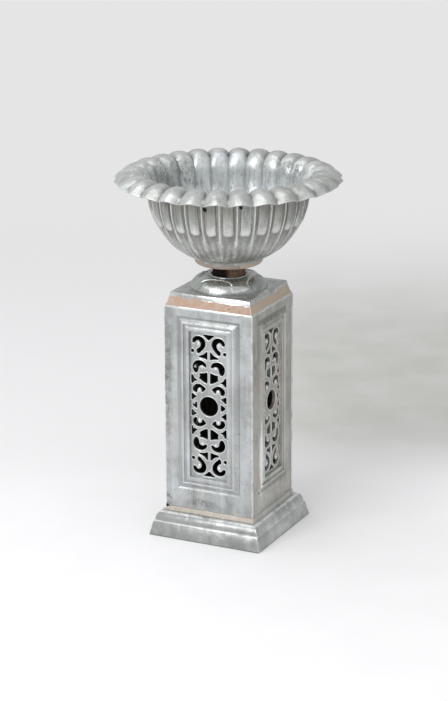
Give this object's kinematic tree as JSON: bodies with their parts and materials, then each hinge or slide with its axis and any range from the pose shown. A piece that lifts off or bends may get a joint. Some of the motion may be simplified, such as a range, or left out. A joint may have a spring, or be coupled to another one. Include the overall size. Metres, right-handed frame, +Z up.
{
  "type": "urn planter",
  "caption": "Fluted urn planter with a flared scalloped rim, on a square pedestal with openwork scroll panels.",
  "frame": {"origin": "centre of the base's underside, on the floor", "axes": "+Z up; the front panel faces -Y and the right panel faces +X"},
  "size_m": [0.543, 0.543, 0.9],
  "materials": {
    "silver_paint": "worn aluminium paint on cast iron, semi-gloss, with stains and pits",
    "silver_over_primer": "aluminium paint over salmon primer, which shows along the edges",
    "rusty_iron": "bare and rusty",
    "bare_steel": "dull, lightly rusted",
    "rubber": "matt"
  },
  "bodies": {
    "root": {"base_plinth": "silver_paint", "front_panel": "silver_paint", "right_panel": "silver_paint", "back_panel": "silver_paint", "left_panel": "silver_paint", "corner_angle_front_left": "bare_steel", "corner_angle_front_right": "bare_steel", "corner_angle_back_right": "bare_steel", "corner_angle_back_left": "bare_steel", "panel_screws": "bare_steel", "cap": "silver_over_primer", "urn_foot": "silver_paint", "neck_collar": "rusty_iron", "bowl_cup": "silver_over_primer", "bowl": "silver_paint", "bowl_clamp_plate": "bare_steel", "tie_rod": "bare_steel", "base_crossbar": "bare_steel", "bottom_washer": "bare_steel", "bottom_nut": "bare_steel", "bottom_locknut": "bare_steel", "top_seal": "rubber", "top_washer": "bare_steel", "top_nut": "bare_steel"}
  },
  "joints": []
}
